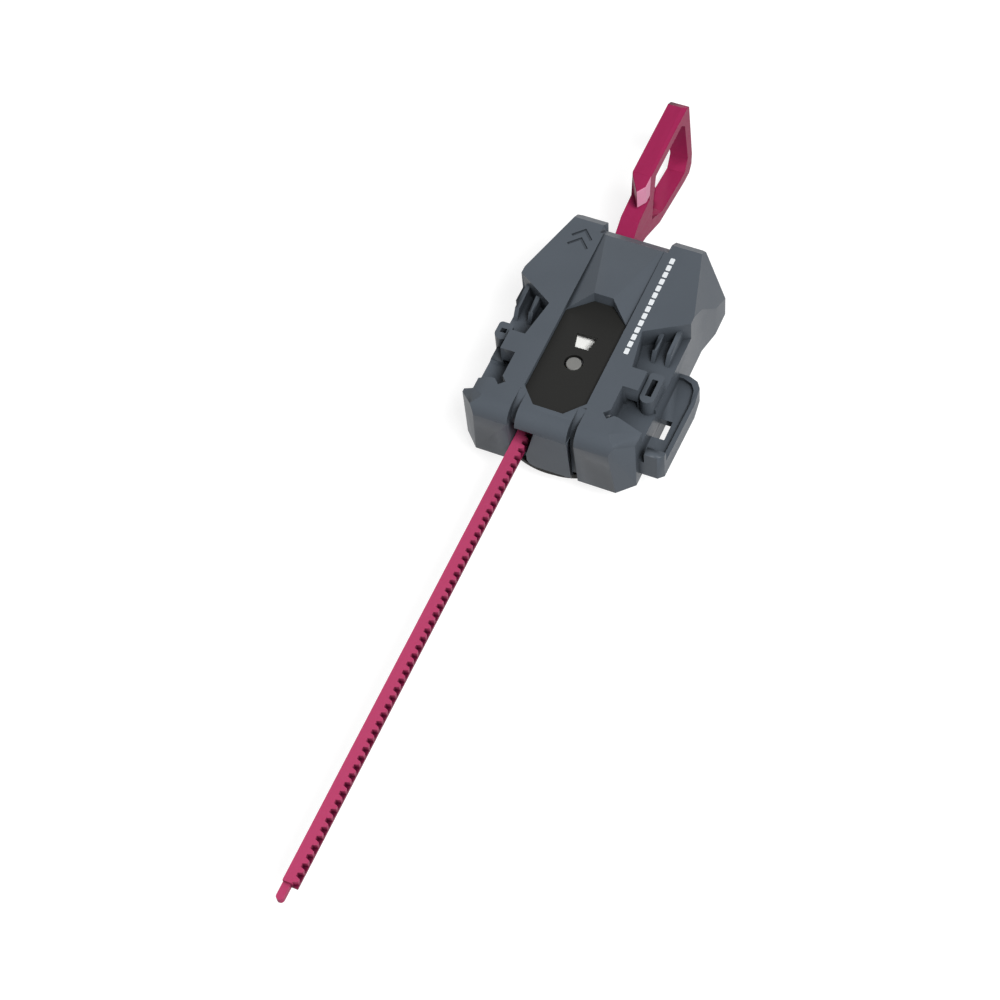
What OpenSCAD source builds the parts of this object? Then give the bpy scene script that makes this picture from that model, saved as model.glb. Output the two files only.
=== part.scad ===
// Spinning top launcher. A toothed winder is pulled through the body and spins a hooked head
// that holds a top. Millimetres, +Z up, +Y towards the pull ring, origin on the spin axis at
// the rim of the round collar the launcher stands on.

/* [Body] */
// Spin axis to the front face
body_front = 22.5; // [20:0.5:26]
// Spin axis to the back face
body_back = 47; // [44:0.5:56]
// Half width at the side walls
body_half_w = 24; // [22:0.5:28]
// Collar rim up to the underside of the body
base_z = 8.5; // [7.5:0.1:10]
// Collar rim up to the tops of the wings
deck_z = 29.8; // [28.5:0.1:33]
// Wall thickness of the mouldings
wall = 2; // [1.6:0.1:2.4]
// Rounding along the top front edge
front_fillet_r = 4.5; // [3:0.1:5.5]
// How far the front and back lean in towards the bottom
front_lean = 1.1; // [0:0.1:1.4]
// Cut of the upright front corners
corner_cut = 5.3; // [3:0.1:6]
// Extra half width of the rear
flare = 1.4; // [0.5:0.1:3]
// Length of the cut at the upright rear corners
rear_corner_len = 8; // [5:0.1:9]
// Length of the sloped top rear edge
back_bevel = 3; // [1.5:0.1:3.5]
// Drop of the sloped top rear edge
back_drop = 2.3; // [1:0.1:3]
// Underside of the body up to the strip
strip_rise = 4.9; // [4.4:0.1:5.4]
// Trim of the left edge beside the recesses
left_trim = 1.6; // [0.8:0.1:2]

/* [Wings] */
// Rear ends of the wings, in from the side walls
wing_rear_in = 5.7; // [4:0.1:8]
// Widest place of the wings, in from the side walls
wing_mid_in = 0.6; // [0.2:0.1:2]
// How far the rear flanks fall
flank_drop = 13.8; // [8:0.1:16]
// Drop of the sloped front corners
corner_drop = 3.7; // [2:0.1:4.2]
// Flat top at the front corners, in from the side walls
corner_in = 6.4; // [4:0.1:8]

/* [Side notches] */
// Depth of the rear notch below the wing tops
notch_depth = 6.3; // [4:0.1:7]
// Depth of the front recess below the wing tops
recess_depth = 7.8; // [5:0.1:8.5]
// Length of the front recess
recess_len = 9.5; // [7:0.1:10]
// Half length of the tab between notch and recess
tab_half = 3.2; // [2.4:0.1:4]
// Reach of that tab as a share of the recess depth
tab_share = 0.467; // [0.35:0.001:0.5]
// Length of the rear notch along its inner wall
notch_len = 11.5; // [9:0.1:13]

/* [Ears and lug] */
// Width of the slotted ears as a share of the recess depth
ear_share = 0.444; // [0.38:0.001:0.48]
// Length of the right ear
ear_len = 9.6; // [8:0.1:12]
// Length of the left ear
ear_short = 5.6; // [5:0.1:8]
// Ear top below the wing tops
ear_drop = 2.3; // [1.5:0.1:3.5]
// Reach of the strap lug from the side wall
lug_reach = 7; // [6:0.1:9]
// Length of the strap lug
lug_len = 29.5; // [26:0.1:30]
// Thickness of the lug's floor
lug_floor_t = 4.4; // [3:0.1:5]
// Height of the lug's rim above its floor
lug_rim_h = 1.2; // [0.8:0.1:4]
// Width of the strap hole
strap_w = 3.4; // [3:0.1:4]
// Length of the strap hole
strap_len = 6; // [5:0.1:9]

/* [Centre band] */
// Half width of the centre band
band_half_w = 8.7; // [8:0.1:9.5]
// Width of the two front grooves
groove_w = 2.1; // [1.2:0.1:2.4]
// Depth of the front grooves
groove_depth = 2; // [1:0.1:2.4]
// Ridge behind the plate above the wing tops
ridge_rise = 2.1; // [1:0.1:3]
// Half width of the ridge at its front end
ridge_half_w = 2.6; // [2:0.1:4]
// Width of the front panel right of the axis
panel_w = 7.3; // [6.5:0.1:7.6]
// Thickness of the front panel
panel_t = 2.6; // [2.2:0.1:3]
// Top of the front panel below the wing tops
panel_drop = 4.5; // [4:0.1:6]

/* [Top plate] */
// Half width of the plate
plate_half_w = 8.55; // [7.5:0.05:8.6]
// Front face to the plate's front end
plate_in = 5.9; // [5:0.1:7]
// Spin axis to the plate's rear end
plate_back = 20.4; // [19:0.1:22]
// Thickness of the plate
plate_t = 1.2; // [1:0.1:1.6]
// Plate face below the wing tops
plate_drop = 1.3; // [0.8:0.1:1.6]
// Middle of the window from the spin axis
window_y = 7.1; // [6.6:0.1:8]
// Length of the window
window_len = 4.4; // [3:0.1:4.8]
// Width of the window's rear edge
window_w = 5.8; // [4:0.1:7]

/* [Winder] */
// Tooth pitch of strip and gear
tooth_pitch = 2.5133; // [2.45:0.0001:2.64]
// Thickness of the strip behind its teeth
spine_t = 2.5; // [2.2:0.1:2.8]
// Height of the strip
strip_h = 2.8; // [2.5:0.1:3.4]
// Height of the closing flange under the teeth
flange_h = 0.8; // [0.6:0.1:1]
// Teeth in front of the axis at rest
teeth_front = 61; // [50:1:66]
// Length of the bare tongue
tongue_len = 4.5; // [3:0.1:8]
// Pull ring thickness
ring_t = 5.4; // [4:0.1:6]
// Pull ring half height
ring_half_h = 14.3; // [12:0.1:14.5]
// Pull ring length with its neck
ring_len = 50; // [44:0.5:60]
// Bevel of the pull ring's top edges
ring_bevel = 1.3; // [0.5:0.1:1.6]

/* [Hub] */
// Teeth of the drive gear
gear_teeth = 15; // [15:1:15]
// Outer radius of the hollow shaft
shaft_r = 3.4; // [3.2:0.05:3.6]
// Bore radius of the hollow shaft
shaft_bore_r = 2.45; // [2.4:0.05:2.6]
// Clearance of the launch head in the collar
head_gap = 0.5; // [0.3:0.1:1]
// Thickness of the launch head's disc
head_t = 2.7; // [2.2:0.1:3]
// Ring width of the launch hooks
hook_w = 2.4; // [2:0.1:3]
// Outer radius of the launch hooks as a share of the head's
hook_share = 0.78; // [0.7:0.01:0.82]
// Radius of the rotor disc
disc_r = 11.6; // [11:0.1:11.7]
// Thickness of the rotor disc
disc_t = 1; // [0.8:0.1:1.4]

/* [Collar] */
// Rim of the collar, in from the side walls
collar_in = 7; // [6:0.1:8]
// Thickness of the collar's wall
collar_t = 1.1; // [0.8:0.05:1.2]
// Width of the collar's flange beyond the rim
flange_w = 4.4; // [4:0.1:5]
// Thickness of the collar's flange
flange_t = 1.4; // [1:0.1:1.8]

/* [Plunger] */
// Radius of the button on the plunger
cap_r = 2.05; // [1.9:0.05:2.1]
// Radius of the plunger's rod
rod_r = 1.2; // [1.1:0.05:1.3]
// Travel of the plunger
plunger_travel = 2.2; // [1.5:0.1:2.4]
// Wire of the plunger spring
wire_d = 0.45; // [0.4:0.05:0.5]
// Turns of the plunger spring
spring_turns = 10; // [8:1:12]

/* [Screws] */
// Shank radius of the housing screws
screw_r = 1.25; // [1.1:0.05:1.4]
// Shank radius of the small screws
small_screw_r = 0.9; // [0.8:0.05:1]

/* [Hidden] */
$fn = 48;

// Clearances
fit = 0.02;
run = 0.06;
gap = 0.1;
slip = 0.3;
over = 1;
reach = 4 * (body_front + body_back);

// Widths
room_half_w = disc_r + 2 * slip;
notch_x = room_half_w + 1.4 * wall;
notch_in = body_half_w - notch_x;
tab_reach = tab_share * notch_in;
ear_w = ear_share * notch_in;
ear_slot = 0.4 * ear_w;
wing_rear_w = body_half_w - wing_rear_in;
wing_mid_w = body_half_w - wing_mid_in;
corner_flat_w = body_half_w - corner_in;
plate_front = body_front - plate_in;
collar_r = body_half_w - collar_in;
flange_r = collar_r + flange_w;
head_r = collar_r - collar_t - head_gap;
hook_r = hook_share * head_r;

// Heights
base_t = wall;
base_top = base_z + base_t;
part_z = deck_z - panel_drop;
plate_z = deck_z - plate_drop;
seat_z = plate_z - plate_t;
ledge_t = 0.6 * wall;
room_top = seat_z - ledge_t;
notch_z = deck_z - notch_depth;
recess_z = deck_z - recess_depth;

// Drive line
tooth_module = tooth_pitch / PI;
teeth_back = floor((body_back - front_lean) / tooth_pitch) - 1;
pitch_r = tooth_module * gear_teeth / 2;
addendum = 0.62 * tooth_module;
dedendum = 0.82 * tooth_module;
backlash = 0.15 * tooth_module;
pressure = 20;
rack_root = pitch_r + dedendum;
rack_tip = pitch_r - addendum;
rack_back = rack_root + spine_t;
strip_mid_x = -(rack_back + rack_tip) / 2;
strip_z = base_z + strip_rise;
strip_top = strip_z + strip_h;
strip_mid_z = strip_z + strip_h / 2;
gear_z = strip_z + flange_h + slip;
gear_top = strip_top + slip + gap;
cover_z = strip_top + 0.4 * wall;
cover_t = 0.9 * wall;
cover_top = cover_z + cover_t;
rack_front_y = -teeth_front * tooth_pitch;
rack_rear_y = teeth_back * tooth_pitch;

// Bearings and shaft
bush_t = 0.35 * shaft_r;
bush_r = shaft_r + bush_t;
bush_lip = 0.3 * shaft_r;
bush_lip_t = 0.8 * wall / 2;
lower_bush_z = base_z - bush_lip_t;
lower_bush_top = gear_z - 0.44 * shaft_r;
washer_t = 0.15 * shaft_r;
washer_z = lower_bush_top + gap / 2;
gear_hub_z = washer_z + washer_t + gap / 2;
gear_hub_r = 1.35 * shaft_r;
gear_hub_top = cover_z - gap;
upper_bush_top = cover_top + 0.7 * wall;
clip_t = 0.4 * wall;
clip_z = upper_bush_top + bush_lip_t + gap;
clip_r = bush_r;
clip_seat_r = shaft_r - 0.13 * shaft_r;
disc_top = room_top - slip / 1.5;
disc_z = disc_top - disc_t;
disc_hub_z = clip_z + clip_t + slip;
head_top = lower_bush_z - gap;
head_z = head_top - head_t;
shaft_top = disc_top;

// Plunger
foot_t = 0.9 * rod_r;
foot_z = head_z - foot_t - 1.2 * plunger_travel;
foot_r = 1.4 * shaft_bore_r;
slide_r = shaft_bore_r - gap;
shoulder_z = head_top + 0.41 * shaft_r;
cap_top = plate_z - slip;
stop_t = 0.3 * shaft_r;
stop_z = cap_top - 2 * cap_r - stop_t;
cap_z = stop_z + stop_t + gap / 2;
cap_socket = 0.65 * cap_r;
coil_r = (rod_r + shaft_bore_r) / 2;
coil_z0 = shoulder_z + wire_d / 2;
coil_z1 = stop_z - wire_d / 2;
coil_pitch = (coil_z1 - coil_z0) / spring_turns;
echo(spring_least_gap = coil_pitch - wire_d);

// Inside of the shell
room_front = body_front - 2.5 * panel_t;
skin = wall + slip;
panel_back = body_front - panel_t;
slot_left = rack_back + slip;
slot_right = 0.5 * rack_tip;
slot_top = deck_z - 1.4 * panel_drop;

// Places of the fasteners
rear_screw_x = 0.69 * body_half_w;
rear_screw_y = 0.81 * body_back;
front_screw_x = room_half_w + 2.34 * screw_r;
front_screw_y = 0.72 * body_front;
head_screw_r = 2.2 * screw_r;
head_screw_h = 1.3 * screw_r;
screw_well = 1.2 * head_screw_h;
screw_boss_r = 3.1 * screw_r;
screw_floor_z = base_z + screw_well;
screw_boss_top = screw_floor_z + wall;
small_head_r = 1.9 * small_screw_r;
small_head_h = 1.2 * small_screw_r;
cover_screw_x = [0.99 * band_half_w, -0.14 * band_half_w];
cover_screw_y = [0.63 * plate_front, 0.77 * plate_front];
collar_screw_r = (flange_r + collar_r + collar_t) / 2;
collar_screw_angles = [20, 160, 200, 340];
collar_screw_top = base_top + 3 * small_screw_r;

shell_grey = [0.38, 0.40, 0.43];
black = [0.16, 0.16, 0.16];
magenta = [0.75, 0.22, 0.42];
steel = [0.66, 0.67, 0.69];
white = [0.92, 0.92, 0.9];
brass = [0.72, 0.6, 0.34];

// Helpers

module both_sides() {
    children();
    mirror([1, 0, 0]) children();
}

// Solid beyond the plane through point p, on the side its normal n points to
module beyond(p, n) {
    translate(p)
        rotate([0, acos(n.z / norm(n)), atan2(n.y, n.x)])
            translate([-reach / 2, -reach / 2, 0]) cube(reach);
}

// Box from corner a to corner b
module span(a, b) {
    translate(a) cube(b - a);
}

// Upright disc or tube wall from height z0 to z1
module rod(r, z0, z1) {
    translate([0, 0, z0]) cylinder(r = r, h = z1 - z0);
}

module tube(r1, r0, z0, z1) {
    difference() {
        rod(r1, z0, z1);
        rod(r0, z0 - over, z1 + over);
    }
}

// Profile drawn in Y and Z, drawn out along X from x0 to x1
module along_x(x0, x1) {
    translate([x0, 0, 0]) rotate([90, 0, 90]) linear_extrude(x1 - x0) children();
}

module cover_screw_places() {
    for (k = [0, 1], s = [-1, 1])
        translate([cover_screw_x[k], s * cover_screw_y[k], 0]) children();
}

module collar_screw_places() {
    for (a = collar_screw_angles) rotate(a) translate([collar_screw_r, 0, 0]) children();
}

module housing_screw_places() {
    both_sides() {
        translate([rear_screw_x, rear_screw_y, 0]) children();
        translate([front_screw_x, -front_screw_y, 0]) children();
    }
}

// Outline of the body seen from above, drawn in by i all round
corner_share = tan(22.5);
flare_start = 0.62 * body_back;
flare_end = 0.76 * body_back;
function right_edge(i) = [
    [body_half_w - corner_cut - corner_share * i, i - body_front],
    [body_half_w - i, corner_share * i - body_front + corner_cut],
    [body_half_w - i, flare_start],
    [body_half_w + flare - i, flare_end],
    [body_half_w + flare - i, body_back - rear_corner_len / 2 - corner_share * i],
    [body_half_w + flare - rear_corner_len - corner_share * i, body_back - i]
];
function outline(i) = concat(
    right_edge(i),
    [for (k = [5:-1:0]) [-right_edge(i)[k].x, right_edge(i)[k].y]]
);

// Side view of the body: leaning ends, round front edge, bevelled rear edge
module side_profile(i) {
    difference() {
        polygon([
            [front_lean + i - body_front, base_z],
            [i - body_front, part_z],
            [i - body_front, deck_z],
            [body_back - back_bevel - i, deck_z],
            [body_back - i, deck_z - back_drop],
            [body_back - front_lean - i, base_z]
        ]);
        translate([-body_front, deck_z - front_fillet_r])
            difference() {
                translate([-over, 0]) square(front_fillet_r + over);
                translate([front_fillet_r, 0]) circle(front_fillet_r);
            }
    }
}

module body_block() {
    intersection() {
        translate([0, 0, base_z]) linear_extrude(deck_z - base_z) polygon(outline(0));
        along_x(-2 * body_half_w, 2 * body_half_w) side_profile(0);
    }
}

// Slanted flank of a rear wing
crease_rear = [wing_rear_w, body_back - back_bevel, deck_z];
crease_front = [wing_mid_w, 0.55 * body_back, deck_z];
flank_foot = [body_half_w + 0.75 * flare, 0.917 * body_back, deck_z - flank_drop];
module rear_flank() {
    beyond(crease_rear, cross(crease_front - crease_rear, flank_foot - crease_rear));
}

// Sloped front corner
module front_corner() {
    intersection() {
        beyond([corner_flat_w, 0, deck_z],
               [corner_drop, 0, body_half_w - corner_flat_w]);
        span([0, -2 * body_front, 0], [reach, -tab_half - recess_len, reach]);
    }
}

// Rear notch, front recess and the step beside the tab
notch_rear_x = notch_x - 0.165 * notch_len;
notch_rear_y = tab_half + notch_len;
notch_slope = 0.62;
notch_out = body_half_w + 4 * flare;
module side_notches() {
    translate([0, 0, notch_z]) linear_extrude(reach) polygon([
        [notch_x, tab_half],
        [notch_out, tab_half],
        [notch_out, notch_rear_y + notch_slope * (notch_out - notch_rear_x)],
        [notch_rear_x, notch_rear_y]
    ]);
    span([notch_x + tab_reach, -tab_half - fit, notch_z], [notch_out, tab_half + fit, reach]);
    span([notch_x, -tab_half - recess_len, recess_z], [notch_out, -tab_half, reach]);
    // opening low in the recess wall
    span([notch_x + 0.2 * tab_reach, -tab_half - over, recess_z],
         [notch_x + 0.9 * tab_reach, 0, recess_z + 0.35 * recess_depth]);
    // nick at the inner front corner
    translate([notch_x, -tab_half - recess_len, deck_z - groove_depth])
        rotate(45) translate([-groove_w / 2, -groove_w / 2, 0]) cube([groove_w, groove_w, reach]);
}

// Slanted trim along the left edge, from the front corner to the rear notch
module left_edge_trim() {
    intersection() {
        beyond([left_trim - body_half_w, 0, notch_z], [-notch_depth, 0, left_trim]);
        span([-reach, 1.2 * corner_cut - body_front, recess_z - notch_depth],
             [0, notch_rear_y + groove_w, reach]);
    }
}

// Step that sets the centre of the rear edge in, with the slope above it
step_half_w = band_half_w + groove_w / 2;
module rear_slope() {
    intersection() {
        beyond([0, body_back - 1.93 * back_bevel, deck_z], [0, back_drop, back_bevel]);
        span([-step_half_w, 0, 0], [step_half_w, 2 * body_back, reach]);
    }
}

module rear_step() {
    span([-step_half_w, body_back - 0.93 * back_bevel, deck_z - notch_depth],
         [step_half_w, body_back + over, reach]);
    rear_slope();
}

// Two arrow strokes sunk into the left wing
mark_w = 0.6 * plate_drop;
mark_depth = 0.35 * plate_drop;
module wing_marks() {
    for (k = [0, 1])
        translate([-0.75 * wing_rear_w, 0.8 * body_back + 4 * k * mark_w, deck_z - mark_depth])
            for (a = [-45, 45])
                rotate(a) translate([-mark_w / 2, -5 * mark_w, 0]) cube([mark_w, 5.5 * mark_w, reach]);
}

// Ribs standing on the floor of the rear notch
rib_t = 0.6 * wall;
module notch_ribs() {
    for (k = [0.28, 0.72])
        translate([notch_x + k * (body_half_w - notch_x), 0, 0])
            along_x(-rib_t / 2, rib_t / 2)
                polygon([
                    [notch_rear_y + k * notch_depth + over, notch_z - over],
                    [notch_rear_y + k * notch_depth + over, notch_z + 0.62 * notch_depth],
                    [notch_rear_y - 0.2 * notch_len, notch_z + 0.5 * notch_depth],
                    [notch_rear_y - 0.42 * notch_len, notch_z - over]
                ]);
}

// Slotted ear beside the tab
module ear(len) {
    ear_x = notch_x + tab_reach + slip;
    ear_rear = tab_half + 0.45 * ear_w;
    ear_top = deck_z - ear_drop;
    difference() {
        union() {
            span([ear_x, ear_rear - len + ear_w / 2, recess_z - over],
                 [ear_x + ear_w, ear_rear - ear_w / 4, ear_top]);
            translate([ear_x + ear_w / 2, ear_rear - len + ear_w / 2, 0])
                rod(ear_w / 2, recess_z - over, ear_top);
            span([ear_x + ear_w / 4, ear_rear - ear_w / 2, recess_z - over],
                 [ear_x + 0.75 * ear_w, ear_rear, ear_top]);
            for (k = [0.25, 0.75])
                translate([ear_x + k * ear_w, ear_rear - ear_w / 4, 0])
                    rod(ear_w / 4, recess_z - over, ear_top);
        }
        span([ear_x + (ear_w - ear_slot) / 2, ear_rear - len + 0.55 * ear_w, recess_z - wall],
             [ear_x + (ear_w + ear_slot) / 2, ear_rear - 0.5 * ear_w, reach]);
    }
}

// Low lug with a strap hole on the right
lug_front = -0.522 * lug_len;
lug_rear = lug_front + lug_len;
lug_floor = strip_top;
lug_z = lug_floor - lug_floor_t;
lug_x = body_half_w + lug_reach;
lug_root = body_half_w - wall / 2;
strap_x = body_half_w;
strap_y = -0.115 * lug_len;
function lug_plan(i) = [
    [lug_root, lug_front + i],
    [lug_x - i - 0.27 * lug_reach, lug_front + i],
    [lug_x - i - 0.06 * lug_reach, lug_front + i + 0.2 * lug_reach],
    [lug_x - i, lug_front + 0.72 * lug_len],
    [lug_x - i - 0.1 * lug_reach, lug_rear - i - 0.38 * lug_reach],
    [lug_x - i - 0.28 * lug_reach, lug_rear - i - 0.13 * lug_reach],
    [lug_x - i - 0.63 * lug_reach, lug_rear - i],
    [lug_root, lug_rear - i]
];
lug_block = lug_front + 0.36 * lug_reach;
module lug() {
    difference() {
        union() {
            translate([0, 0, lug_z])
                linear_extrude(lug_floor_t + lug_rim_h) polygon(lug_plan(0));
            intersection() {
                translate([0, 0, lug_z])
                    linear_extrude(lug_floor_t + 0.67 * lug_reach) polygon(lug_plan(0));
                span([lug_x - 0.78 * lug_reach, -reach, 0], [reach, lug_block, reach]);
            }
        }
        intersection() {
            translate([0, 0, lug_floor]) linear_extrude(reach) polygon(lug_plan(0.6 * wall));
            span([0, lug_block, 0], [reach, reach, reach]);
        }
        // hollow under the floor
        translate([0, 0, lug_z - over])
            linear_extrude(lug_floor_t / 2 + over) polygon(lug_plan(0.6 * wall));
        span([strap_x, strap_y - strap_len / 2, 0],
             [strap_x + strap_w, strap_y + strap_len / 2, reach]);
    }
}

// Faceted ridge that rises behind the plate
ridge_front = plate_back + gap;
ridge_rear = 0.88 * body_back;
ridge_foot = [-band_half_w, 0.74 * plate_back, plate_z + 0.1 * ridge_rise];
ridge_peak = [-ridge_half_w, ridge_front, deck_z + ridge_rise];
ridge_tail = [-0.92 * band_half_w, ridge_rear, deck_z + 0.05 * ridge_rise];
module ridge() {
    side = cross(ridge_peak - ridge_foot, ridge_tail - ridge_foot);
    roof = [0, ridge_peak.z - ridge_tail.z, ridge_rear - ridge_front];
    difference() {
        span([-band_half_w - fit, ridge_foot.y - plate_t, seat_z - ledge_t],
             [band_half_w + fit, body_back - 0.93 * back_bevel, deck_z + 2 * ridge_rise]);
        both_sides() beyond(ridge_foot, side.z > 0 ? side : -side);
        beyond(ridge_peak, roof);
        rear_slope();
    }
}

module ridge_valley() {
    span([-band_half_w, ridge_foot.y - plate_t, plate_z],
         [band_half_w, body_back + over, reach]);
}

// Plate outline, drawn in by i all round
function plate_outline(i) = [
    [0.48 * plate_half_w - 0.4 * i, i - plate_front],
    [plate_half_w - i, 0.4 * i - 0.705 * plate_front],
    [plate_half_w - i, 0.74 * plate_back - 0.4 * i],
    [0.31 * plate_half_w - 0.4 * i, plate_back - i],
    [0.4 * i - 0.31 * plate_half_w, plate_back - i],
    [i - plate_half_w, 0.74 * plate_back - 0.4 * i],
    [i - plate_half_w, 0.4 * i - 0.705 * plate_front],
    [0.4 * i - 0.48 * plate_half_w, i - plate_front]
];
ledge_w = 0.8 * wall;
module plate_seat() {
    translate([0, 0, seat_z]) linear_extrude(reach) polygon(plate_outline(-gap));
    translate([0, 0, base_top]) linear_extrude(seat_z) polygon(plate_outline(ledge_w));
}

// Grooves from the top edge down the front, deep at the front and running out on top
groove_bend = front_fillet_r + 1.5 * groove_depth;
groove_wall = body_front - groove_depth;
module front_grooves() {
    both_sides()
        along_x(band_half_w - 0.75 * groove_w, band_half_w + 0.25 * groove_w)
            difference() {
                translate([-2 * body_front, 0]) square([2 * body_front - groove_wall + groove_bend, reach]);
                translate([groove_bend - groove_wall, deck_z - groove_bend]) circle(groove_bend);
                translate([-groove_wall, 0]) square([reach, deck_z - groove_bend]);
            }
}

// Hollow of the shell, open at the bottom
side_pocket_top = recess_z - 1.2 * wall;
module shell_hollow() {
    translate([0, 0, base_z - over])
        linear_extrude(base_t + over + gap) polygon(outline(skin - slip));
    span([-room_half_w, -room_front, base_z],
         [room_half_w, body_back - skin - front_lean, room_top]);
    both_sides()
        span([room_half_w - over, -tab_half - recess_len, base_z],
             [body_half_w - wall, rear_screw_y - screw_boss_r - gap, side_pocket_top]);
}

// Window for the strip at the back and slot for it at the front
module strip_ways() {
    span([-slot_left, room_front, base_z - over],
         [-rack_tip + slip, body_back + over, strip_top + slip]);
    span([-slot_left, -body_front - over, base_z - over], [-slot_right, -room_front + over, slot_top]);
    span([-slot_left, -body_front - over, base_z - over],
         [panel_w + gap, -panel_back + gap, part_z + gap]);
    span([-slot_left, -body_front - over, base_z - over],
         [panel_w + gap, -room_front + over, base_top + gap]);
}

module upper_housing() {
    color(shell_grey) difference() {
        union() {
            difference() {
                body_block();
                both_sides() {
                    rear_flank();
                    front_corner();
                    side_notches();
                }
                ridge_valley();
                left_edge_trim();
                rear_step();
            }
            both_sides() notch_ribs();
            ridge();
            ear(ear_len);
            mirror([1, 0, 0]) translate([0, 0.15 * recess_len, 0]) ear(ear_short);
            lug();
        }
        plate_seat();
        front_grooves();
        shell_hollow();
        strip_ways();
        wing_marks();
        housing_screw_places() rod(screw_r + fit, base_z, deck_z - wall);
        housing_screw_places() rod(screw_boss_r + gap, base_z - over, screw_boss_top + gap);
    }
}

// Guides, posts and bearing seat on the base
guide_t = 0.6 * wall;
guide_front = room_front - gap;
guide_rear = body_back - skin - front_lean - gap;
gear_clear = pitch_r + addendum + 2 * slip;
post_r = 2.6 * small_screw_r;
seat_r = bush_r + wall;
module strip_guides() {
    span([-rack_back - slip - guide_t, -guide_front, base_z], [-rack_back - slip, guide_rear, cover_z]);
    span([-rack_back - slip - fit, -guide_front, base_z], [-rack_tip, guide_rear, strip_z - slip]);
    span([-rack_tip + slip, gear_clear, base_z],
         [-rack_tip + slip + guide_t, guide_rear, cover_z]);
    span([-rack_tip + slip, -guide_front, base_z],
         [-rack_tip + slip + guide_t, -gear_clear, cover_z]);
}

module front_panel() {
    intersection() {
        translate([0, -panel_back, 0]) rotate([90, 0, 0]) linear_extrude(2 * panel_t) difference() {
            polygon([
                [panel_w, base_z],
                [panel_w, part_z],
                [-0.25 * panel_w, part_z],
                [-0.68 * panel_w, strip_z],
                [-0.68 * panel_w, base_z]
            ]);
            translate([-0.68 * panel_w, base_z]) difference() {
                translate([-over, -over]) square(panel_t + over);
                translate([panel_t, panel_t]) circle(panel_t);
            }
        }
        along_x(-body_half_w, body_half_w) side_profile(0);
    }
}

module lower_housing() {
    color(shell_grey) difference() {
        union() {
            intersection() {
                translate([0, 0, base_z]) linear_extrude(base_t) polygon(outline(skin));
                along_x(-2 * body_half_w, 2 * body_half_w) side_profile(skin);
            }
            span([-0.25 * panel_w, -panel_back - panel_t / 4, base_z],
                 [panel_w - gap, skin - body_front + panel_t, base_top]);
            front_panel();
            strip_guides();
            rod(seat_r, base_z, lower_bush_top - gap);
            cover_screw_places() rod(post_r, base_z, cover_z);
            collar_screw_places() rod(post_r, base_z, collar_screw_top + wall);
            housing_screw_places() rod(screw_boss_r, base_z, screw_boss_top);
        }
        rod(bush_r + fit, base_z - over, reach);
        cover_screw_places() rod(small_screw_r + fit, base_top, reach);
        collar_screw_places() rod(small_screw_r + fit, base_z - over, collar_screw_top);
        housing_screw_places() rod(screw_r + gap, base_z - over, reach);
        housing_screw_places() rod(head_screw_r + gap, base_z - over, screw_floor_z);
    }
}

// Black insert with window, button hole and two snap legs
leg_w = 0.45 * plate_half_w;
leg_t = 0.8 * plate_t;
barb = 0.4 * plate_t;
module snap_leg() {
    span([-leg_w / 2, -leg_t - gap, room_top - barb - gap], [leg_w / 2, -gap, seat_z + plate_t / 2]);
    span([-leg_w / 2, -leg_t, room_top - barb - gap], [leg_w / 2, barb, room_top - gap]);
}

module top_plate() {
    color(black) {
        translate([0, 0, seat_z]) linear_extrude(plate_t) difference() {
            polygon(plate_outline(0));
            circle(1.22 * cap_r);
            polygon([
                [-window_w / 2, window_y + window_len / 2],
                [window_w / 2, window_y + window_len / 2],
                [0.32 * window_w, window_y - window_len / 2],
                [-0.32 * window_w, window_y - window_len / 2]
            ]);
        }
        translate([0, plate_back - ledge_w, 0]) snap_leg();
        translate([0, ledge_w - plate_front, 0]) mirror([0, 1, 0]) snap_leg();
    }
}

// Inner plate over gear and strip
module gear_cover() {
    cover_x = room_half_w - slip;
    cover_y = cover_screw_y[1] + post_r;
    color(black) difference() {
        union() {
            translate([0, 0, cover_z]) linear_extrude(cover_t) polygon([
                [0.5 * cover_x, -cover_y],
                [cover_x, -0.75 * cover_y],
                [cover_x, 0.75 * cover_y],
                [0.5 * cover_x, cover_y],
                [-0.8 * cover_x, cover_y],
                [-cover_x, 0.8 * cover_y],
                [-cover_x, -0.8 * cover_y],
                [-0.8 * cover_x, -cover_y]
            ]);
            rod(seat_r, cover_z, upper_bush_top);
        }
        rod(bush_r + fit, cover_z - over, reach);
        cover_screw_places() rod(small_screw_r + gap, cover_z - over, reach);
    }
}

module gear_cover_screws() {
    color(steel) cover_screw_places() difference() {
        union() {
            rod(small_screw_r, base_top + small_screw_r, cover_top + fit);
            rod(small_head_r, cover_top, cover_top + small_head_h);
        }
        cross_slot(small_head_r, cover_top + small_head_h);
    }
}

// Cross recess in the face of a screw head at height z
module cross_slot(r, z) {
    for (a = [0, 90])
        rotate(a) translate([0, 0, z]) cube([1.2 * r, 0.3 * r, 0.6 * r], center = true);
}

module collar_screws() {
    z = base_z - flange_t;
    color(steel) collar_screw_places() difference() {
        union() {
            rod(small_screw_r, z - fit, collar_screw_top - gap);
            rod(small_head_r, z - small_head_h, z);
        }
        cross_slot(small_head_r, z - small_head_h);
    }
}

module housing_screws() {
    color(steel) housing_screw_places() difference() {
        union() {
            rod(screw_r, screw_floor_z - fit, deck_z - wall - gap);
            rod(head_screw_r, screw_floor_z - head_screw_h, screw_floor_z);
        }
        cross_slot(head_screw_r, screw_floor_z - head_screw_h);
    }
}

module lower_bush() {
    color(brass) difference() {
        union() {
            rod(bush_r, lower_bush_z, lower_bush_top);
            rod(bush_r + bush_lip, lower_bush_z, base_z);
        }
        rod(shaft_r + run, base_z - reach, reach);
    }
}

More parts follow.
